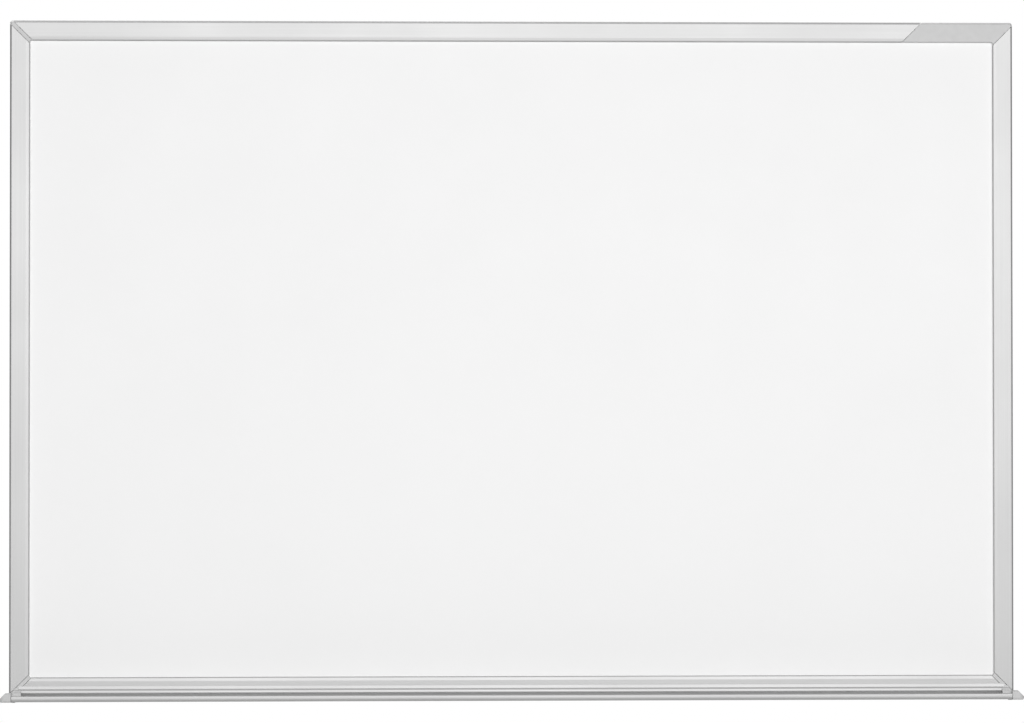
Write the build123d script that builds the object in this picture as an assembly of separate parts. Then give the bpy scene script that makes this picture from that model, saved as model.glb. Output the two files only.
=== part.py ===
from build123d import *
import math
import os

# A framed magnetic whiteboard that hangs on a wall: a steel-faced panel held in four mitred
# aluminium rails with plastic corner pieces, and a pen tray gripped onto the bottom rail.
# Millimetres. +X is the viewer's right, +Z is up and the board faces -Y. The wall is the plane
# y = 0, and the origin is on the wall behind the middle of the board.
# Sections are drawn as (height, depth): depth is measured from the wall towards the viewer.

# Panel, which is the nominal size of the board
PANEL_WIDTH = 900.0
PANEL_HEIGHT = 600.0
FACE_SHEET = 0.6
CORE = 6.0
BACK_SHEET = 0.4

# Rail section
RAIL_FACE = 18.4
RAIL_OUTSIDE_PANEL = 8.0
WALL_GAP = 2.0
RAIL_BACK = WALL_GAP
RAIL_FRONT = 20.0
SURFACE_DEPTH = 16.0
WALL = 1.4
OUTER_WALL = 2.2
WEB = 1.2
LEAN_WIDTH = 2.0
LEAN_DEPTH = 5.0
LEAN_ROUND = 0.7
INNER_ROUND = 1.0
BEVEL_WIDTH = 3.2
BEVEL_DROP = 0.42
BACK_ROUND = 0.5
GROOVE_PLAY = 0.2
FRONT_LIP = 1.6
REAR_LIP_START = 0.8
CHANNEL_START = 3.2
CHANNEL_LIP = 1.2
SLOT_START = 9.4
SLOT_END = 14.6

# Corner pieces
STRIP = 3.2
JOINT_GAP = 0.45
CORNER_ROUND = 2.8
OPENING_ROUND = 1.8
PLATE_LENGTH = 83.0
LEG_LENGTH = 46.0
BLOCK_LEG = 35.0
LEG_PLAY = 0.1
LEG_TIP = 1.5
POCKET_COUNT = 3
POCKET_RIB = 2.0
POCKET_WALL = 1.4
POCKET_INSET = 0.8
POCKET_FROM_END = 8.0
POCKET_FRONT_WALL = 2.0

# Corner screws, driven from the back through the rail's inner wall into the legs
SCREW_FROM_CORNER = 28.0
SCREW_FROM_BLOCK = 22.0
SCREW_SHANK_R = 1.45
SCREW_HEAD_R = 2.6
SCREW_HEAD = 1.8
SCREW_HEAD_CHAMFER = 0.5
SCREW_LENGTH = 8.5
SCREW_POINT_CHAMFER = 0.8
SCREW_HOLE_BEYOND = 0.5
SCREW_HOLE_PLAY = 0.05
SCREW_WALL_HOLE_R = 1.7
SCREW_ACCESS_R = 3.2
RECESS_ARM = 2.8
RECESS_SLOT = 0.6
RECESS_DEPTH = 0.9

# Sealing strips between the rail's face and the edge of the sheet
SEAL_PLAY = 0.2
SEAL_SHORT = 4.0

# Pen tray. Heights are above the bottom edge of the frame.
TRAY_LENGTH = 896.6
TRAY_REACH = 46.0
TRAY_PLAY = 0.2
TRAY_SHEET = 1.5
FLANGE_TOP = 10.7
FLANGE_TIP = 0.35
FLANGE_FOOT = 0.85
BEAD_TOP = 8.1
BEAD_FALL = 1.2
BEAD_UNDER = 4.3
BEAD_PROUD = 1.6
BEAD_TILT = 0.5
BEAD_TOP_ROUND = 0.8
BEAD_UNDER_ROUND = 0.8
TRAY_LIP_TOP = 5.9
TRAY_LIP_UNDER = 0.4
TRAY_LIP_BACK = 2.6
LIP_TILT = 0.4
LIP_WAIST = 4.2
LIP_TURN = 2.6
LIP_RUN = 3.2
LIP_TOP_ROUND = 0.7
LIP_TURN_ROUND = 1.5
LIP_LOW_ROUND = 0.5
LIP_BACK_ROUND = 0.4
FLOOR_REAR = 4.0
FLOOR_FRONT = 2.9
FLOOR_STEP = 1.0
REAR_FLANGE_TOP = 4.8
REAR_FLANGE_GAP = 0.4
REAR_FLANGE = 1.3
PORT_R = 1.0
PORT_BOSS_R = 1.9
FRONT_PORT = (2.9, 62.0)
REAR_PORT = (0.4, 23.5)

# Tray end caps
CAP_OUTSIDE = 459.9
CAP_END_GAP = 0.4
CAP_PROUD = 0.3
CAP_PLAY = 0.2
CAP_FRAME_PLAY = 0.3
CAP_SADDLE = 2.9
CAP_TOP = 8.6
CAP_CREST = 3.0
CAP_BOTTOM = 0.15
CAP_FRONT_WALL = 9.0
CAP_UNDER = -2.0
CAP_TOP_ROUND = 1.6
CAP_FRONT_ROUND = 3.0
CAP_PLAN_ROUND = 6.0
CAP_SHOULDER = 6.2
CAP_SHOULDER_ROUND = 2.0
CAP_HEEL = 2.0
CAP_SIDE_HEEL = 1.6
CAP_SIDE_BACK = 9.0
CAP_BLOCK_TOP = 7.3
CAP_BLOCK_STEP = 3.6
CAP_BLOCK_FOOT = 5.4
CAP_BLOCK_WIDTH = 6.5
CAP_BLOCK_SLANT = 2.5
CAP_BLOCK_SIDE = 3.5
CAP_STOP_REAR = 2.5
CAP_STOP_WIDE = 8.2
CAP_STOP_REAR_TOP = 4.9
CAP_STOP_FRONT = 59.8
CAP_TAB_WIDTH = 2.8
CAP_TAB_TOP = 0.2
CAP_TAB_BOTTOM = -0.6
CAP_TAB = (54.0, 57.5, 62.8)
PEG_LENGTH = 13.0
PEG_PLAY = 0.05

# Wall fixings: two hangers under the top rail and two catches above the bottom rail
FIXING_X = 300.0
FIXING_HOLE_Z = 281.0
FIXING_WIDTH = 32.0
FIXING_PLATE = 1.5
FIXING_HOLE_R = 2.6
FIXING_HOOK_WIDTH = 18.0
FIXING_HOOK_RISE = 2.4
FIXING_HOOK_PLAY = 0.2
FIXING_REST_PLAY = 0.05
FIXING_END = 9.0
FIXING_CORNER_ROUND = 3.0

# Buffers behind the rails that keep the frame off the wall
BUFFER_LENGTH = 22.0
BUFFER_WIDTH = 5.4
BUFFER_FROM_END = 60.0
BUFFER_CHAMFER = 0.4

# How far cutting shapes run past what they cut, and how near a point counts as on the spot
CUT_MARGIN = 3.0
SPOT = 0.01

# Worked out from the above
FRAME_WIDTH = PANEL_WIDTH + 2 * RAIL_OUTSIDE_PANEL
FRAME_HEIGHT = PANEL_HEIGHT + 2 * RAIL_OUTSIDE_PANEL
OPENING_WIDTH = FRAME_WIDTH - 2 * RAIL_FACE
OPENING_HEIGHT = FRAME_HEIGHT - 2 * RAIL_FACE
PANEL_BACK = SURFACE_DEPTH - FACE_SHEET - CORE - BACK_SHEET
GROOVE_END = RAIL_FACE - RAIL_OUTSIDE_PANEL + GROOVE_PLAY
CHAMBER_START = GROOVE_END + WEB
CHAMBER_END = RAIL_FACE - OUTER_WALL
CHANNEL_END = RAIL_FACE - WALL
CHAMBER_FRONT = RAIL_FRONT - WALL
CHANNEL_FLOOR = PANEL_BACK - WEB
CHANNEL_TOP = RAIL_BACK + CHANNEL_LIP
CHAMBER_MIDDLE = (CHAMBER_START + CHAMBER_END) / 2
FRAME_BOTTOM = -FRAME_HEIGHT / 2
TRAY_FRONT = RAIL_FRONT + TRAY_REACH
ROOT2 = math.sqrt(2)

SECTION = Plane(origin=(0, 0, 0), x_dir=(0, 0, 1), z_dir=(1, 0, 0))
FRONT_VIEW = Plane(origin=(0, 0, 0), x_dir=(1, 0, 0), z_dir=(0, -1, 0))


def box(x0, x1, d0, d1, z0, z1):
    """A block between two X values, two depths from the wall and two heights."""
    return Pos((x0 + x1) / 2, -(d0 + d1) / 2, (z0 + z1) / 2) * Box(x1 - x0, abs(d1 - d0), z1 - z0)


def rounded(outline, rounds):
    """A face inside an outline, with fillets: each of the rounds is a radius and a corner."""
    face = make_face(Polyline(*outline, close=True))
    for radius, corner in rounds:
        face = fillet(corner_at(face, corner), radius)
    return face


def slab(points, d0, d1, rounds=()):
    """A flat outline in X and Z, as thick as the step between two depths from the wall."""
    face = FRONT_VIEW * rounded(points, rounds)
    return Pos(0, -d0, 0) * extrude(face, d1 - d0)


def across(points, x0, x1, rounds=()):
    """A section of heights above the frame's bottom and depths, made solid between two X values."""
    face = SECTION * rounded(points, rounds)
    return Pos(x0, 0, FRAME_BOTTOM) * extrude(face, x1 - x0)


def upright(points, h0, h1):
    """A plan of X values and depths, made solid between two heights above the frame's bottom."""
    face = make_face(Polyline(*[(x, -d) for x, d in points], close=True))
    return Pos(0, 0, FRAME_BOTTOM + h0) * extrude(face, h1 - h0)


def along_x(sketch, half_length):
    """A section of heights and depths, made long to both sides of x = 0."""
    return extrude(SECTION * sketch, half_length, both=True)


def rod(x, z, d0, d1, radius):
    """A round rod square to the wall."""
    return Pos(x, -(d0 + d1) / 2, z) * Rot(90, 0, 0) * Cylinder(radius, d1 - d0)


def corner_at(sketch, point):
    """The corner of a sketch that lies at the given point."""
    return [v for v in sketch.vertices() if (Vector(*v) - Vector(*point, 0)).length < SPOT]


def rail_sketch():
    """The rail's section: u = 0 at the opening, u = RAIL_FACE at the outer edge."""
    outline = [
        (0, SURFACE_DEPTH),
        (0, RAIL_FRONT - BEVEL_DROP),
        (BEVEL_WIDTH, RAIL_FRONT),
        (RAIL_FACE - LEAN_WIDTH, RAIL_FRONT),
        (RAIL_FACE, RAIL_FRONT - LEAN_DEPTH),
        (RAIL_FACE, RAIL_BACK),
        (SLOT_END, RAIL_BACK),
        (SLOT_END, CHANNEL_TOP),
        (CHANNEL_END, CHANNEL_TOP),
        (CHANNEL_END, CHANNEL_FLOOR),
        (CHANNEL_START + WALL, CHANNEL_FLOOR),
        (CHANNEL_START + WALL, CHANNEL_TOP),
        (SLOT_START, CHANNEL_TOP),
        (SLOT_START, RAIL_BACK),
        (CHANNEL_START, RAIL_BACK),
        (CHANNEL_START, CHANNEL_FLOOR),
        (REAR_LIP_START, CHANNEL_FLOOR),
        (REAR_LIP_START, PANEL_BACK),
        (GROOVE_END, PANEL_BACK),
        (GROOVE_END, CHAMBER_FRONT),
        (FRONT_LIP, CHAMBER_FRONT),
        (FRONT_LIP, SURFACE_DEPTH),
    ]
    rounds = [
        (LEAN_ROUND, (RAIL_FACE - LEAN_WIDTH, RAIL_FRONT)),
        (INNER_ROUND, (0, RAIL_FRONT - BEVEL_DROP)),
        (BACK_ROUND, (RAIL_FACE, RAIL_BACK)),
    ]
    chamber = Pos(CHAMBER_MIDDLE, (PANEL_BACK + CHAMBER_FRONT) / 2) * Rectangle(
        CHAMBER_END - CHAMBER_START, CHAMBER_FRONT - PANEL_BACK
    )
    return rounded(outline, rounds) - chamber


def mitred_rail(half_span, half_across, cut_left, cut_right):
    """A rail along X above the middle, cut at 45 degrees at both ends.

    The cuts are how far each end stops short of the corner, along the outer edge.
    """
    inner = half_across - RAIL_FACE
    stock = Pos(0, 0, inner) * along_x(rail_sketch(), half_span)
    left = -half_span + cut_left
    right = half_span - cut_right
    outline = [
        (left, half_across),
        (right, half_across),
        (right - RAIL_FACE, inner),
        (left + RAIL_FACE, inner),
    ]
    return stock & slab(outline, RAIL_BACK, RAIL_FRONT)


def rail_screw_places(half_span, half_across, ends):
    """The middles of the corner screws in a rail along X: ends are distances from the corners."""
    z = half_across - RAIL_FACE + CHAMBER_MIDDLE
    return [(-half_span + ends[0], z), (half_span - ends[1], z)]


def drilled(rail, places):
    """A rail with its screw holes and the access holes in the lip behind them."""
    for x, z in places:
        rail -= rod(x, z, CHANNEL_FLOOR, PANEL_BACK, SCREW_WALL_HOLE_R)
        rail -= rod(x, z, 0, CHANNEL_TOP, SCREW_ACCESS_R)
    return rail


def corner_screw(x, z):
    """A pan-head screw whose head lies on the rail's inner wall, with a cross recess."""
    head_back = CHANNEL_FLOOR - SCREW_HEAD
    head = rod(x, z, head_back, CHANNEL_FLOOR, SCREW_HEAD_R)
    head = chamfer(head.edges().filter_by(GeomType.CIRCLE).sort_by(Axis.Y)[-1], SCREW_HEAD_CHAMFER)
    shank = rod(x, z, CHANNEL_FLOOR, CHANNEL_FLOOR + SCREW_LENGTH, SCREW_SHANK_R)
    shank = chamfer(shank.edges().filter_by(GeomType.CIRCLE).sort_by(Axis.Y)[0], SCREW_POINT_CHAMFER)
    half = RECESS_SLOT / 2
    arm = RECESS_ARM / 2
    recess = box(x - arm, x + arm, head_back, head_back + RECESS_DEPTH, z - half, z + half)
    recess += box(x - half, x + half, head_back, head_back + RECESS_DEPTH, z - arm, z + arm)
    return head + shank - recess


def front_edges(ring, at_opening):
    """The foremost edges of the frame, either those round the opening or those round the outside."""
    foremost = ring.edges().group_by(Axis.Y)[0]
    half_w = (OPENING_WIDTH + RAIL_FACE) / 2
    half_h = (OPENING_HEIGHT + RAIL_FACE) / 2
    inside = [e for e in foremost if abs(e.center().X) < half_w and abs(e.center().Z) < half_h]
    if at_opening:
        return inside
    return [e for e in foremost if e not in inside]


def corner_stock():
    """The whole frame as one moulding, with rounded corners: slices of it make the corner pieces."""
    outline = FRONT_VIEW * RectangleRounded(FRAME_WIDTH, FRAME_HEIGHT, CORNER_ROUND)
    opening = FRONT_VIEW * RectangleRounded(OPENING_WIDTH, OPENING_HEIGHT, OPENING_ROUND)
    lean_back = RAIL_FRONT - LEAN_DEPTH
    lean = math.degrees(math.atan(LEAN_WIDTH / LEAN_DEPTH))
    ring = Pos(0, -RAIL_BACK, 0) * extrude(outline, lean_back - RAIL_BACK)
    ring += Pos(0, -lean_back, 0) * extrude(outline, LEAN_DEPTH, taper=lean)
    ring -= extrude(opening, RAIL_FRONT)
    ring = fillet(front_edges(ring, at_opening=False), LEAN_ROUND)
    ring = fillet(front_edges(ring, at_opening=True), INNER_ROUND)
    half_w = PANEL_WIDTH / 2 + GROOVE_PLAY
    half_h = PANEL_HEIGHT / 2 + GROOVE_PLAY
    ring -= box(-half_w, half_w, PANEL_BACK, SURFACE_DEPTH, -half_h, half_h)
    half_w = OPENING_WIDTH / 2 + CHANNEL_START
    half_h = OPENING_HEIGHT / 2 + CHANNEL_START
    return ring - box(-half_w, half_w, 0, CHANNEL_FLOOR, -half_h, half_h)


def leg(length, screw_from_corner):
    """A leg in the top rail's chamber, ending on the mitre of the top right corner."""
    top = FRAME_HEIGHT / 2
    low = top - RAIL_FACE + CHAMBER_START + LEG_PLAY
    high = top - RAIL_FACE + CHAMBER_END - LEG_PLAY
    right = FRAME_WIDTH / 2
    tip = right - length
    outline = [
        (tip, low + LEG_TIP),
        (tip + LEG_TIP, low),
        (right - (top - low), low),
        (right - (top - high), high),
        (tip + LEG_TIP, high),
        (tip, high - LEG_TIP),
    ]
    bar = slab(outline, PANEL_BACK + LEG_PLAY, CHAMBER_FRONT - LEG_PLAY)
    x = right - screw_from_corner
    z = top - RAIL_FACE + CHAMBER_MIDDLE
    hole_end = CHANNEL_FLOOR + SCREW_LENGTH + SCREW_HOLE_BEYOND
    return bar - rod(x, z, 0, hole_end, SCREW_SHANK_R + SCREW_HOLE_PLAY)


def turned_to_side(shape):
    """Swap along and up at the top right corner, so that a leg of the top rail fits the right rail."""
    corner = (FRAME_WIDTH / 2, 0, FRAME_HEIGHT / 2)
    return mirror(shape, Plane(origin=corner, z_dir=(1, 0, -1)))


def top_right_corner(stock, length, top_leg):
    """A corner piece for the top right: a slanted slice of the frame with a leg into each rail.

    The slice starts half a strip past the mitre and runs back along the top for the length.
    """
    right = FRAME_WIDTH / 2
    top = FRAME_HEIGHT / 2
    start = right + STRIP / 2 * ROOT2
    end = right - length
    low = RAIL_FACE + CUT_MARGIN
    outline = [
        (start + CUT_MARGIN, top + CUT_MARGIN),
        (start - low, top - low),
        (end - low, top - low),
        (end + CUT_MARGIN, top + CUT_MARGIN),
    ]
    piece = stock & slab(outline, RAIL_BACK, RAIL_FRONT)
    return piece + top_leg + turned_to_side(leg(LEG_LENGTH, SCREW_FROM_CORNER))


def long_corner(stock):
    """The top right corner piece, which carries on along the top as a long blank plate."""
    screw_at = PLATE_LENGTH + SCREW_FROM_BLOCK
    top_leg = leg(PLATE_LENGTH + BLOCK_LEG, screw_at)
    piece = top_right_corner(stock, PLATE_LENGTH, top_leg)
    low = FRAME_HEIGHT / 2 - RAIL_FACE + CHAMBER_START + POCKET_INSET
    high = FRAME_HEIGHT / 2 - POCKET_INSET - POCKET_WALL
    first = FRAME_WIDTH / 2 - PLATE_LENGTH + POCKET_FROM_END
    last = FRAME_WIDTH / 2 - RAIL_FACE - POCKET_FROM_END / 2
    pitch = (last - first + POCKET_RIB) / POCKET_COUNT
    for i in range(POCKET_COUNT):
        x = first + i * pitch
        piece -= box(x, x + pitch - POCKET_RIB, 0, RAIL_FRONT - POCKET_FRONT_WALL, low, high)
    return piece


def seal_strip(x0, x1, half_across):
    """A strip between the rail's face and the edge of the sheet, along the top rail."""
    inner = half_across - RAIL_FACE
    low = inner + FRONT_LIP + SEAL_PLAY
    high = inner + GROOVE_END - 2 * GROOVE_PLAY
    return box(x0, x1, SURFACE_DEPTH, CHAMBER_FRONT - SEAL_PLAY / 2, low, high)


def tray_sketch():
    """The pen tray's section: a grip round the rail's lower edge, a bead, a floor and a front lip."""
    web_top = -TRAY_PLAY
    web_bottom = web_top - TRAY_SHEET
    grip = RAIL_FRONT + TRAY_PLAY
    wall_front = grip + TRAY_SHEET
    bead_front = wall_front + BEAD_PROUD
    lip_back = TRAY_FRONT - TRAY_LIP_BACK
    flange_front = REAR_FLANGE_GAP + REAR_FLANGE
    bead_low_front = (BEAD_UNDER, bead_front)
    bead_high_front = (BEAD_TOP - BEAD_FALL, bead_front - BEAD_TILT)
    lip_high_front = (TRAY_LIP_TOP, TRAY_FRONT - LIP_TILT)
    lip_turn = (LIP_TURN, TRAY_FRONT)
    lip_low = (TRAY_LIP_UNDER, TRAY_FRONT - LIP_RUN)
    outline = [
        (web_bottom, REAR_FLANGE_GAP),
        (REAR_FLANGE_TOP, REAR_FLANGE_GAP),
        (REAR_FLANGE_TOP, flange_front),
        (web_top, flange_front),
        (web_top, grip),
        (FLANGE_TOP, grip),
        (FLANGE_TOP, grip + FLANGE_TIP),
        (BEAD_TOP, grip + FLANGE_FOOT),
        bead_high_front,
        bead_low_front,
        (BEAD_UNDER, wall_front),
        (FLOOR_REAR, wall_front),
        (FLOOR_FRONT, lip_back),
        (TRAY_LIP_TOP, lip_back),
        lip_high_front,
        (LIP_WAIST, TRAY_FRONT),
        lip_turn,
        lip_low,
        (TRAY_LIP_UNDER, TRAY_FRONT - LIP_RUN - FLOOR_STEP),
        (FLOOR_REAR - TRAY_SHEET, wall_front + FLOOR_STEP),
        (FLOOR_REAR - TRAY_SHEET, wall_front),
        (web_bottom, wall_front),
    ]
    rounds = [
        (BEAD_TOP_ROUND, bead_high_front),
        (BEAD_UNDER_ROUND, bead_low_front),
        (LIP_BACK_ROUND, (TRAY_LIP_TOP, lip_back)),
        (LIP_TOP_ROUND, lip_high_front),
        (LIP_TURN_ROUND, lip_turn),
        (LIP_LOW_ROUND, lip_low),
    ]
    face = rounded(outline, rounds)
    for height, depth in (FRONT_PORT, REAR_PORT):
        face += Pos(height, depth) * Circle(PORT_BOSS_R)
    for height, depth in (FRONT_PORT, REAR_PORT):
        face -= Pos(height, depth) * Circle(PORT_R)
    return face


def saddle(depth):
    """The height of the cap's upper edge, which rises from the frame to the front."""
    grip = RAIL_FRONT + TRAY_PLAY
    crest = TRAY_FRONT + CAP_PROUD - CAP_CREST
    return CAP_SADDLE + (CAP_TOP - CAP_SADDLE) * (depth - grip) / (crest - grip)


def cap_ear():
    """The part of the right cap outside the tray, which wraps round the frame's lower corner."""
    z0 = FRAME_BOTTOM
    inner = TRAY_LENGTH / 2 + CAP_END_GAP
    side = FRAME_WIDTH / 2 + CAP_FRAME_PLAY
    grip = RAIL_FRONT + TRAY_PLAY
    front = TRAY_FRONT + CAP_PROUD
    profile = [
        (CAP_SADDLE, grip),
        (CAP_TOP, front - CAP_CREST),
        (CAP_TOP, front),
        (CAP_BOTTOM, front),
        (CAP_BOTTOM, front - CAP_FRONT_WALL),
        (CAP_UNDER, grip),
    ]
    rounds = [(CAP_TOP_ROUND, (CAP_TOP, front)), (CAP_FRONT_ROUND, (CAP_BOTTOM, front))]
    horn = across(profile, inner, CAP_OUTSIDE, rounds)
    shoulder = (CAP_OUTSIDE - CAP_SHOULDER, z0 + CAP_TOP)
    outline = [
        (inner, z0 + CAP_UNDER),
        (inner, z0 + CAP_TOP),
        shoulder,
        (CAP_OUTSIDE, z0 + CAP_TOP - CAP_SHOULDER),
        (CAP_OUTSIDE, z0 + CAP_BOTTOM + CAP_HEEL),
        (CAP_OUTSIDE - CAP_HEEL, z0 + CAP_BOTTOM),
        (CAP_OUTSIDE - CAP_HEEL, z0 + CAP_UNDER),
    ]
    horn = horn & slab(outline, grip, front, [(CAP_SHOULDER_ROUND, shoulder)])
    plan = box(inner, CAP_OUTSIDE, grip, front, z0 + CAP_UNDER, z0 + CAP_TOP)
    outer_front = plan.edges().filter_by(Axis.Z).group_by(Axis.Y)[0].sort_by(Axis.X)[-1]
    horn = horn & fillet(outer_front, CAP_PLAN_ROUND)
    wrap = [
        (inner, z0 - CAP_FRAME_PLAY),
        (side, z0 - CAP_FRAME_PLAY),
        (side, z0 + CAP_SADDLE),
        (CAP_OUTSIDE, z0 + CAP_SADDLE),
        (CAP_OUTSIDE, z0 + CAP_UNDER + CAP_SIDE_HEEL),
        (CAP_OUTSIDE - CAP_SIDE_HEEL, z0 + CAP_UNDER),
        (inner, z0 + CAP_UNDER),
    ]
    return horn + slab(wrap, CAP_SIDE_BACK, grip)


def cap_block():
    """The right cap's block on the rail's corner, in front of the end of the tray's bead."""
    z0 = FRAME_BOTTOM
    inner = TRAY_LENGTH / 2 + CAP_END_GAP
    end = inner + CAP_BLOCK_WIDTH
    grip = RAIL_FRONT + TRAY_PLAY
    foot = grip + CAP_BLOCK_FOOT
    profile = [
        (0, grip),
        (CAP_BLOCK_TOP, grip),
        (CAP_BLOCK_TOP, grip + CAP_BLOCK_STEP),
        (saddle(foot), foot),
        (0, foot),
    ]
    outline = [
        (inner, z0),
        (end, z0),
        (end, z0 + CAP_BLOCK_SIDE),
        (end - CAP_BLOCK_SLANT, z0 + CAP_BLOCK_TOP),
        (inner, z0 + CAP_BLOCK_TOP),
    ]
    return across(profile, inner, end) & slab(outline, grip, foot)


def cap_stop():
    """The part of the right cap that stands in the end of the trough and gets wider to the front."""
    inner = TRAY_LENGTH / 2 + CAP_END_GAP
    grip = RAIL_FRONT + TRAY_PLAY
    foot = grip + CAP_BLOCK_FOOT
    back = grip + TRAY_SHEET + BEAD_PROUD + CAP_PLAY
    fall = (FLOOR_REAR - FLOOR_FRONT) / (TRAY_FRONT - TRAY_LIP_BACK - grip - TRAY_SHEET)
    profile = [
        (CAP_BLOCK_TOP, back),
        (CAP_BLOCK_TOP, grip + CAP_BLOCK_STEP),
        (CAP_STOP_REAR_TOP, foot),
        (saddle(CAP_STOP_FRONT), CAP_STOP_FRONT),
        (FLOOR_REAR + CAP_PLAY - fall * (CAP_STOP_FRONT - back), CAP_STOP_FRONT),
        (FLOOR_REAR + CAP_PLAY, back),
    ]
    plan = [
        (inner, back),
        (inner - CAP_STOP_REAR, back),
        (inner - CAP_STOP_WIDE, CAP_STOP_FRONT),
        (inner, CAP_STOP_FRONT),
    ]
    return across(profile, inner - CAP_STOP_WIDE, inner) & upright(plan, 0, CAP_TOP)


def tray_cap():
    """The right end cap: the ear, the block, the stop, a tab under the lip and two pegs."""
    inner = TRAY_LENGTH / 2 + CAP_END_GAP
    tab_back, tab_low, tab_front = CAP_TAB
    tab_profile = [(CAP_TAB_TOP, tab_back), (CAP_TAB_TOP, tab_front), (CAP_TAB_BOTTOM, tab_low)]
    cap = cap_ear() + cap_block() + cap_stop() + across(tab_profile, inner - CAP_TAB_WIDTH, inner)
    at_start = (Align.CENTER, Align.CENTER, Align.MIN)
    for height, depth in (FRONT_PORT, REAR_PORT):
        peg = Rot(0, -90, 0) * Cylinder(PORT_R - PEG_PLAY, PEG_LENGTH, align=at_start)
        cap += Pos(inner, -depth, FRAME_BOTTOM + height) * peg
    return cap


def wall_fixing(slot_top, hole_z):
    """A steel plate that is screwed to the wall, with a hook that goes up behind the rail's lip."""
    half = FIXING_WIDTH / 2
    hook_half = FIXING_HOOK_WIDTH / 2
    hook_back = CHANNEL_TOP + FIXING_HOOK_PLAY
    neck_top = slot_top - FIXING_REST_PLAY
    neck_bottom = neck_top - FIXING_PLATE
    if hole_z > 0:
        low, high = hole_z - FIXING_END, neck_top
    else:
        low, high = neck_bottom, hole_z + FIXING_END
    plate = box(-half, half, 0, FIXING_PLATE, low, high)
    plate = fillet(plate.edges().filter_by(Axis.Y), FIXING_CORNER_ROUND)
    neck = box(-hook_half, hook_half, FIXING_PLATE, hook_back + FIXING_PLATE, neck_bottom, neck_top)
    hook_top = neck_top + FIXING_HOOK_RISE
    hook = box(-hook_half, hook_half, hook_back, hook_back + FIXING_PLATE, neck_bottom, hook_top)
    lead_in = hook.edges().filter_by(Axis.X).group_by(Axis.Z)[-1].sort_by(Axis.Y)[-1]
    hook = chamfer(lead_in, FIXING_PLATE / 2)
    return plate + neck + hook - rod(0, hole_z, -CUT_MARGIN, CUT_MARGIN, FIXING_HOLE_R)


def buffers():
    """Four rubber strips on the inner back lips of the side rails, near the corners."""
    x = OPENING_WIDTH / 2 + (CHANNEL_START + SLOT_START) / 2
    z = FRAME_HEIGHT / 2 - BUFFER_FROM_END
    strips = []
    for side in (-1, 1):
        for end in (-1, 1):
            strip = Pos(side * x, -WALL_GAP / 2, end * z) * Box(BUFFER_WIDTH, WALL_GAP, BUFFER_LENGTH)
            wall_edges = strip.edges().group_by(Axis.Y)[-1]
            strips.append(chamfer(wall_edges, BUFFER_CHAMFER))
    return Compound(children=strips)


def write(node, shape):
    """Write one node, and say how many solids it has."""
    shape.label = node
    export_step(shape, f"parts/{node}.step")
    print(node, len(shape.solids()), "solid(s)")


os.makedirs("parts", exist_ok=True)

# The panel, from front to back
panel_w = PANEL_WIDTH / 2
panel_h = PANEL_HEIGHT / 2
core_front = SURFACE_DEPTH - FACE_SHEET
core_back = core_front - CORE
write("writing_surface", box(-panel_w, panel_w, core_front, SURFACE_DEPTH, -panel_h, panel_h))
write("panel_core", box(-panel_w, panel_w, core_back, core_front, -panel_h, panel_h))
write("backing_sheet", box(-panel_w, panel_w, PANEL_BACK, core_back, -panel_h, panel_h))

# The rails: each is made as a top rail and turned to its side
frame_w = FRAME_WIDTH / 2
frame_h = FRAME_HEIGHT / 2
mitre_cut = (STRIP / 2 + JOINT_GAP) * ROOT2
plate_cut = PLATE_LENGTH + JOINT_GAP * ROOT2
near = SCREW_FROM_CORNER
far = PLATE_LENGTH + SCREW_FROM_BLOCK
rails = [
    ("frame_top_rail", frame_w, frame_h, plate_cut, (near, far), 0),
    ("frame_right_rail", frame_h, frame_w, mitre_cut, (near, near), 90),
    ("frame_bottom_rail", frame_w, frame_h, mitre_cut, (near, near), 180),
    ("frame_left_rail", frame_h, frame_w, mitre_cut, (near, near), -90),
]
screws = []
for node, half_span, half_across, right_cut, ends, turn in rails:
    places = rail_screw_places(half_span, half_across, ends)
    rail = drilled(mitred_rail(half_span, half_across, mitre_cut, right_cut), places)
    write(node, Rot(0, turn, 0) * rail)
    screws += [Rot(0, turn, 0) * corner_screw(x, z) for x, z in places]
write("corner_screws", Compound(children=screws))

# The corner pieces: three narrow strips and the long plate at the top right
stock = corner_stock()
narrow = top_right_corner(stock, STRIP / 2 * ROOT2, leg(LEG_LENGTH, SCREW_FROM_CORNER))
write("corner_connector_top_left", mirror(narrow, Plane.YZ))
write("corner_connector_bottom_right", mirror(narrow, Plane.XY))
write("corner_connector_bottom_left", mirror(mirror(narrow, Plane.XY), Plane.YZ))
write("corner_connector_top_right", long_corner(stock))

# The sealing strips
end_w = frame_w - RAIL_FACE - SEAL_SHORT
end_h = frame_h - RAIL_FACE - SEAL_SHORT
plate_end = frame_w - PLATE_LENGTH - RAIL_FACE - SEAL_SHORT
seals = [
    seal_strip(-end_w, plate_end, frame_h),
    Rot(0, 180, 0) * seal_strip(-end_w, end_w, frame_h),
    Rot(0, 90, 0) * seal_strip(-end_h, end_h, frame_w),
    Rot(0, -90, 0) * seal_strip(-end_h, end_h, frame_w),
]
write("panel_edge_seals", Compound(children=seals))

# The pen tray
write("tray_profile", Pos(0, 0, FRAME_BOTTOM) * along_x(tray_sketch(), TRAY_LENGTH / 2))
right_cap = tray_cap()
write("tray_end_cap_right", right_cap)
write("tray_end_cap_left", mirror(right_cap, Plane.YZ))

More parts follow.
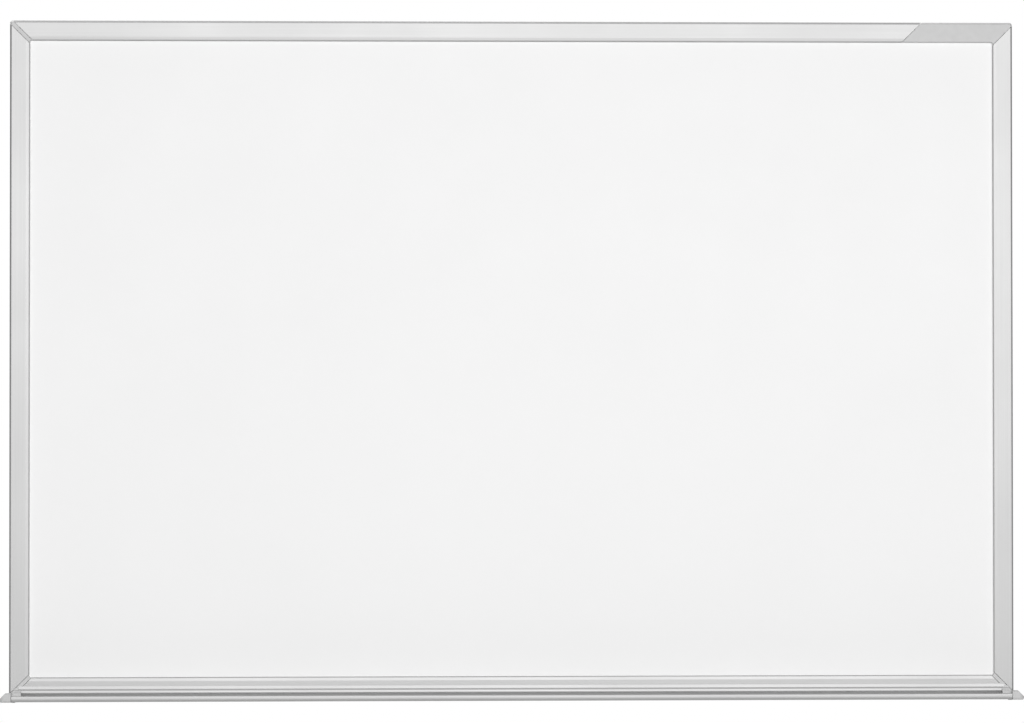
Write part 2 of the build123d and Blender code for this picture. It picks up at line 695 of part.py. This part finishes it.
# The wall fixings and buffers
hanger = wall_fixing(OPENING_HEIGHT / 2 + SLOT_END, FIXING_HOLE_Z)
catch = wall_fixing(-OPENING_HEIGHT / 2 - SLOT_START, -FIXING_HOLE_Z)
for side, x in (("left", -FIXING_X), ("right", FIXING_X)):
    write(f"wall_hanger_{side}", Pos(x, 0, 0) * hanger)
    write(f"wall_catch_{side}", Pos(x, 0, 0) * catch)
write("wall_buffers", buffers())
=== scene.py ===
import math

import bpy
from mathutils import Matrix, Vector


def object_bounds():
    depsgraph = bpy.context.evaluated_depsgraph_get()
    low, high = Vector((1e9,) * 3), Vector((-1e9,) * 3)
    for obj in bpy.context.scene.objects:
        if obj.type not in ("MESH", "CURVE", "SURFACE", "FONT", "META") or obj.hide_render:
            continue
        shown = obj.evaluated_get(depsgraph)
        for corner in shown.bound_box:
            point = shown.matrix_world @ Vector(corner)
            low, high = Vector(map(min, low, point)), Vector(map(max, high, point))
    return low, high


# Looks, light and camera for a wall-hung magnetic whiteboard. Metres, +X to the right, +Z up,
# and the writing surface faces -Y.

# Camera: turns in degrees, lens and sensor in millimetres
CAMERA_PLACE = (-0.0245, -2.82, -0.0382)
CAMERA_YAW = 1.434
CAMERA_PITCH = 0.723
CAMERA_ROLL = -0.033
CAMERA_LENS = 107.98
CAMERA_SHIFT_X = -0.05
CAMERA_SENSOR = 36.0

# Light: the world's white where it is seen, its level on the object, and two softboxes
WHITE = (1.0, 1.0, 1.0, 1.0)
WORLD_WHITE = 1.0
WORLD_LIGHT = 0.12
KEY_PLACE = (0.25, -4.6, 0.6)
KEY_SIZE = (4.0, 1.5)
KEY_POWER = 195.0
BACK_PLACE = (-0.6, 3.0, 2.7)
BACK_SIZE = (3.0, 2.0)
BACK_POWER = 130.0

# Floor: its fade runs between two shares of its radius
FLOOR_BELOW = 1.0
FLOOR_RADIUS = 2.3
FLOOR_CORNERS = 96
FLOOR_FADE_START = 0.3
FLOOR_FADE_END = 0.95

# Base greys, and how far each texture strays from its grey
FLOOR_GREY = 0.86
FLOOR_STRAY = 0.005
ENAMEL = 0.895
ENAMEL_STRAY = 0.004
ALUMINIUM = 0.51
ALUMINIUM_STRAY = 0.015
PLASTIC = 0.61
CAP_PLASTIC = 0.58
PLASTIC_STRAY = 0.015
ZINC = 0.58
ZINC_STRAY = 0.03
STEEL = 0.55
STEEL_STRAY = 0.05
RUBBER = 0.0315
RUBBER_STRAY = 0.0075

# Tints of the greys, and the darkest and palest fibres of the core board
NO_TINT = (1.0, 1.0, 1.0)
ZINC_TINT = (1.0, 1.005, 1.015)
STEEL_TINT = (1.0, 1.0, 1.02)
FIBRE_DARK = (0.30, 0.20, 0.12, 1.0)
FIBRE_PALE = (0.52, 0.38, 0.24, 1.0)

# Roughness: one value, or the range that a texture is spread over
FLOOR_ROUGHNESS = 0.8
ENAMEL_ROUGHNESS = (0.36, 0.44)
ALUMINIUM_ROUGHNESS = (0.33, 0.40)
PLASTIC_ROUGHNESS = (0.45, 0.6)
ZINC_ROUGHNESS = (0.36, 0.5)
STEEL_ROUGHNESS = (0.3, 0.45)
FIBRE_ROUGHNESS = 0.85
RUBBER_ROUGHNESS = (0.7, 0.85)

# Shares of metal, specular levels, and the aluminium's gloss at a glancing angle
ALUMINIUM_METAL = 0.13
ZINC_METAL = 0.8
STEEL_METAL = 0.9
FLOOR_SPECULAR = 0.1
ENAMEL_SPECULAR = 0.12
ALUMINIUM_SPECULAR = 0.0
PLASTIC_SPECULAR = 0.1
ALUMINIUM_EDGE = (0.2, 0.2, 0.2, 1.0)

# How closely the aluminium's drawing lines and the steel's scratches are packed
LINES_ALONG = 4
LINES_ACROSS = 700
SCRATCHES_ACROSS = 12

# The bands of a texture's values that are used
WHOLE_BAND = (0.0, 1.0)
GREY_BAND = (0.3, 0.7)
ROUGHNESS_BAND = (0.25, 0.75)


def feed(node, **inputs):
    """Set a node's sockets: a value is set on the socket, and an output is linked to it."""
    for name, value in inputs.items():
        socket = node.inputs[name.replace("_", " ")]
        if isinstance(value, bpy.types.NodeSocket):
            node.id_data.links.new(value, socket)
        else:
            socket.default_value = value


def add(owner, kind, **inputs):
    """A new node of a material or world, with its sockets set."""
    node = owner.node_tree.nodes.new(kind)
    feed(node, **inputs)
    return node


def new_material(name):
    """A material with nothing but its shader and output."""
    material = bpy.data.materials.new(name)
    material.use_nodes = True
    material.node_tree.nodes.clear()
    shader = add(material, "ShaderNodeBsdfPrincipled")
    add(material, "ShaderNodeOutputMaterial", Surface=shader.outputs["BSDF"])
    return material, shader


def place(material, stretch=(1, 1, 1)):
    """Object coordinates, multiplied along each axis."""
    coordinates = add(material, "ShaderNodeTexCoord").outputs["Object"]
    mapping = add(material, "ShaderNodeMapping", Vector=coordinates, Scale=stretch)
    return mapping.outputs["Vector"]


def noise(material, where, scale, detail=2.0, roughness=0.5):
    """A cloudy texture, most of whose values lie near 0.5."""
    node = add(material, "ShaderNodeTexNoise", Vector=where, Scale=scale, Detail=detail,
               Roughness=roughness)
    return node.outputs["Fac"]


def spread(material, value, limits):
    """A texture's value, spread over a range of roughness."""
    node = add(material, "ShaderNodeMapRange", Value=value, From_Min=ROUGHNESS_BAND[0],
               From_Max=ROUGHNESS_BAND[1], To_Min=limits[0], To_Max=limits[1])
    return node.outputs["Result"]


def blend(material, value, band, colours):
    """A colour between two, where a texture's value runs over a band."""
    ramp = add(material, "ShaderNodeValToRGB", Fac=value)
    for element, position, colour in zip(ramp.color_ramp.elements, band, colours):
        element.position = position
        element.color = colour
    return ramp.outputs["Color"]


def grey(material, value, level, stray, tint=NO_TINT):
    """A grey that strays to both sides of its level, with a slight tint."""
    shades = (level - stray, level + stray)
    colours = [[shade * share for share in tint] + [1.0] for shade in shades]
    return blend(material, value, GREY_BAND, colours)


def bump(material, height, strength, distance):
    """A fine relief on the surface, with its distance in metres."""
    node = add(material, "ShaderNodeBump", Height=height, Strength=strength, Distance=distance)
    return node.outputs["Normal"]


def enamel():
    """Glossy white enamel on steel: hardly any texture, a faint waviness in the gloss."""
    material, shader = new_material("white_enamel")
    where = place(material)
    cloud = noise(material, where, scale=6.0, detail=3.0)
    waves = noise(material, where, scale=14.0, detail=4.0)
    grain = noise(material, where, scale=350.0, detail=1.0)
    feed(
        shader,
        Base_Color=grey(material, cloud, ENAMEL, ENAMEL_STRAY),
        Roughness=spread(material, waves, ENAMEL_ROUGHNESS),
        Specular_IOR_Level=ENAMEL_SPECULAR,
        Normal=bump(material, grain, strength=0.05, distance=0.00005),
    )
    return material


def anodised(name, stretch):
    """Satin anodised aluminium with fine drawing lines along the bar."""
    material, shader = new_material(name)
    lines = noise(material, place(material, stretch), scale=1.0, detail=4.0, roughness=0.6)
    cloud = noise(material, place(material), scale=9.0, detail=3.0)
    feed(
        shader,
        Base_Color=grey(material, lines, ALUMINIUM, ALUMINIUM_STRAY),
        Metallic=ALUMINIUM_METAL,
        Roughness=spread(material, cloud, ALUMINIUM_ROUGHNESS),
        Specular_IOR_Level=ALUMINIUM_SPECULAR,
        Specular_Tint=ALUMINIUM_EDGE,
        Normal=bump(material, lines, strength=0.15, distance=0.0001),
    )
    return material


def plastic(name, level):
    """Grey moulded plastic with a fine grain."""
    material, shader = new_material(name)
    where = place(material)
    cloud = noise(material, where, scale=160.0, detail=3.0)
    sheen = noise(material, where, scale=700.0)
    grain = noise(material, where, scale=2200.0)
    feed(
        shader,
        Base_Color=grey(material, cloud, level, PLASTIC_STRAY),
        Roughness=spread(material, sheen, PLASTIC_ROUGHNESS),
        Specular_IOR_Level=PLASTIC_SPECULAR,
        Normal=bump(material, grain, strength=0.25, distance=0.00006),
    )
    return material


def galvanised():
    """Galvanised sheet with large crystals of zinc."""
    material, shader = new_material("galvanised_sheet")
    where = place(material)
    crystals = add(material, "ShaderNodeTexVoronoi", Vector=where, Scale=110.0)
    split = add(material, "ShaderNodeSeparateColor", Color=crystals.outputs["Color"])
    grain = noise(material, where, scale=900.0)
    feed(
        shader,
        Base_Color=grey(material, split.outputs["Red"], ZINC, ZINC_STRAY, ZINC_TINT),
        Metallic=ZINC_METAL,
        Roughness=spread(material, split.outputs["Green"], ZINC_ROUGHNESS),
        Normal=bump(material, grain, strength=0.08, distance=0.00005),
    )
    return material


def zinc_plated(name):
    """Zinc-plated pressed steel, lightly scratched."""
    material, shader = new_material(name)
    cloud = noise(material, place(material), scale=60.0, detail=4.0)
    scratched = place(material, (1, 1, SCRATCHES_ACROSS))
    scratches = noise(material, scratched, scale=400.0, detail=3.0)
    feed(
        shader,
        Base_Color=grey(material, cloud, STEEL, STEEL_STRAY, STEEL_TINT),
        Metallic=STEEL_METAL,
        Roughness=spread(material, scratches, STEEL_ROUGHNESS),
        Normal=bump(material, scratches, strength=0.1, distance=0.00005),
    )
    return material


def fibreboard():
    """Raw brown fibreboard."""
    material, shader = new_material("fibreboard")
    where = place(material)
    fibres = noise(material, where, scale=500.0, detail=5.0, roughness=0.7)
    grain = noise(material, where, scale=900.0, detail=4.0)
    feed(
        shader,
        Base_Color=blend(material, fibres, WHOLE_BAND, (FIBRE_DARK, FIBRE_PALE)),
        Roughness=FIBRE_ROUGHNESS,
        Normal=bump(material, grain, strength=0.3, distance=0.0002),
    )
    return material


def rubber():
    """Matt black rubber."""
    material, shader = new_material("black_rubber")
    where = place(material)
    cloud = noise(material, where, scale=400.0, detail=3.0)
    grain = noise(material, where, scale=1500.0)
    feed(
        shader,
        Base_Color=grey(material, cloud, RUBBER, RUBBER_STRAY),
        Roughness=spread(material, cloud, RUBBER_ROUGHNESS),
        Normal=bump(material, grain, strength=0.3, distance=0.0001),
    )
    return material


def dress(nodes):
    """Give every CAD node its material, by what its name starts with."""
    along = anodised("anodised_along", (LINES_ALONG, LINES_ACROSS, LINES_ACROSS))
    up = anodised("anodised_up", (LINES_ACROSS, LINES_ACROSS, LINES_ALONG))
    fixing = zinc_plated("fixing_steel")
    black = rubber()
    materials = {
        "writing_surface": enamel(),
        "panel_core": fibreboard(),
        "panel_edge_seals": black,
        "backing_sheet": galvanised(),
        "frame_top": along,
        "frame_bottom": along,
        "frame_left": up,
        "frame_right": up,
        "corner_connector": plastic("corner_plastic", PLASTIC),
        "corner_screws": zinc_plated("screw_steel"),
        "tray_profile": along,
        "tray_end_cap": plastic("cap_plastic", CAP_PLASTIC),
        "wall_hanger": fixing,
        "wall_catch": fixing,
        "wall_buffers": black,
    }
    for name, node in nodes.items():
        material = next(materials[start] for start in materials if name.startswith(start))
        node.data.materials.clear()
        node.data.materials.append(material)


def make_floor(height):
    """A pale round floor that fades out before its edge."""
    bpy.ops.mesh.primitive_circle_add(
        vertices=FLOOR_CORNERS, radius=FLOOR_RADIUS, fill_type="NGON", location=(0, 0, height))
    floor = bpy.context.object
    floor.name = "floor"
    material, shader = new_material("pale_floor")
    where = place(material)
    length = add(material, "ShaderNodeVectorMath", Vector=where)
    length.operation = "LENGTH"
    fade = add(
        material, "ShaderNodeMapRange", Value=length.outputs["Value"],
        From_Min=FLOOR_RADIUS * FLOOR_FADE_START, From_Max=FLOOR_RADIUS * FLOOR_FADE_END,
        To_Min=1.0, To_Max=0.0)
    fade.interpolation_type = "SMOOTHSTEP"
    feed(
        shader,
        Base_Color=grey(material, noise(material, where, scale=3.0), FLOOR_GREY, FLOOR_STRAY),
        Roughness=FLOOR_ROUGHNESS,
        Specular_IOR_Level=FLOOR_SPECULAR,
        Alpha=fade.outputs["Result"],
    )
    floor.data.materials.append(material)


def make_world():
    """White for what the camera, gloss and glass see, and a low even light on everything else."""
    world = bpy.data.worlds.new("studio")
    bpy.context.scene.world = world
    world.use_nodes = True
    tree = world.node_tree
    tree.nodes.clear()
    path = add(world, "ShaderNodeLightPath")
    seen = path.outputs["Is Camera Ray"]
    for name in ("Is Glossy Ray", "Is Transmission Ray"):
        either = add(world, "ShaderNodeMath")
        either.operation = "MAXIMUM"
        tree.links.new(seen, either.inputs[0])
        tree.links.new(path.outputs[name], either.inputs[1])
        seen = either.outputs["Value"]
    level = add(world, "ShaderNodeMapRange", Value=seen, To_Min=WORLD_LIGHT, To_Max=WORLD_WHITE)
    light = add(world, "ShaderNodeBackground", Color=WHITE, Strength=level.outputs["Result"])
    add(world, "ShaderNodeOutputWorld", Surface=light.outputs["Background"])


def softbox(name, location, size, power):
    """A rectangular lamp that faces the middle of the board."""
    data = bpy.data.lights.new(name, "AREA")
    data.shape = "RECTANGLE"
    data.size, data.size_y = size
    data.energy = power
    lamp = bpy.data.objects.new(name, data)
    bpy.context.scene.collection.objects.link(lamp)
    lamp.location = location
    lamp.rotation_euler = Vector(location).to_track_quat("Z", "Y").to_euler()


def make_camera():
    """The photograph's viewpoint: a long lens, close to straight in front."""
    yaw = math.radians(CAMERA_YAW)
    pitch = math.radians(CAMERA_PITCH)
    forward = Vector((
        math.sin(yaw) * math.cos(pitch),
        math.cos(yaw) * math.cos(pitch),
        math.sin(pitch),
    ))
    right = Vector((math.cos(yaw), -math.sin(yaw), 0))
    up = right.cross(forward)
    turn = Matrix((right, up, -forward)).transposed().to_4x4()
    roll = Matrix.Rotation(math.radians(CAMERA_ROLL), 4, "Z")
    data = bpy.data.cameras.new("camera")
    data.lens = CAMERA_LENS
    data.sensor_width = CAMERA_SENSOR
    data.shift_x = CAMERA_SHIFT_X
    camera = bpy.data.objects.new("camera", data)
    bpy.context.scene.collection.objects.link(camera)
    camera.matrix_world = Matrix.Translation(CAMERA_PLACE) @ turn @ roll
    bpy.context.scene.camera = camera


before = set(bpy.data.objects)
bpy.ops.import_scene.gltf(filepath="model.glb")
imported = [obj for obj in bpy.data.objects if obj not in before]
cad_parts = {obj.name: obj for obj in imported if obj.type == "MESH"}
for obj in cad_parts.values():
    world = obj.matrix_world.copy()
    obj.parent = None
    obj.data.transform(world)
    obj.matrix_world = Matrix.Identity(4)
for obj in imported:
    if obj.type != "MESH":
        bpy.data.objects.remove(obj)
cad_low, cad_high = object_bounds()

bpy.context.scene.view_settings.view_transform = "Standard"
make_camera()
make_world()
softbox("key", KEY_PLACE, KEY_SIZE, KEY_POWER)
softbox("back", BACK_PLACE, BACK_SIZE, BACK_POWER)
make_floor(cad_low.z - FLOOR_BELOW)
dress(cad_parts)
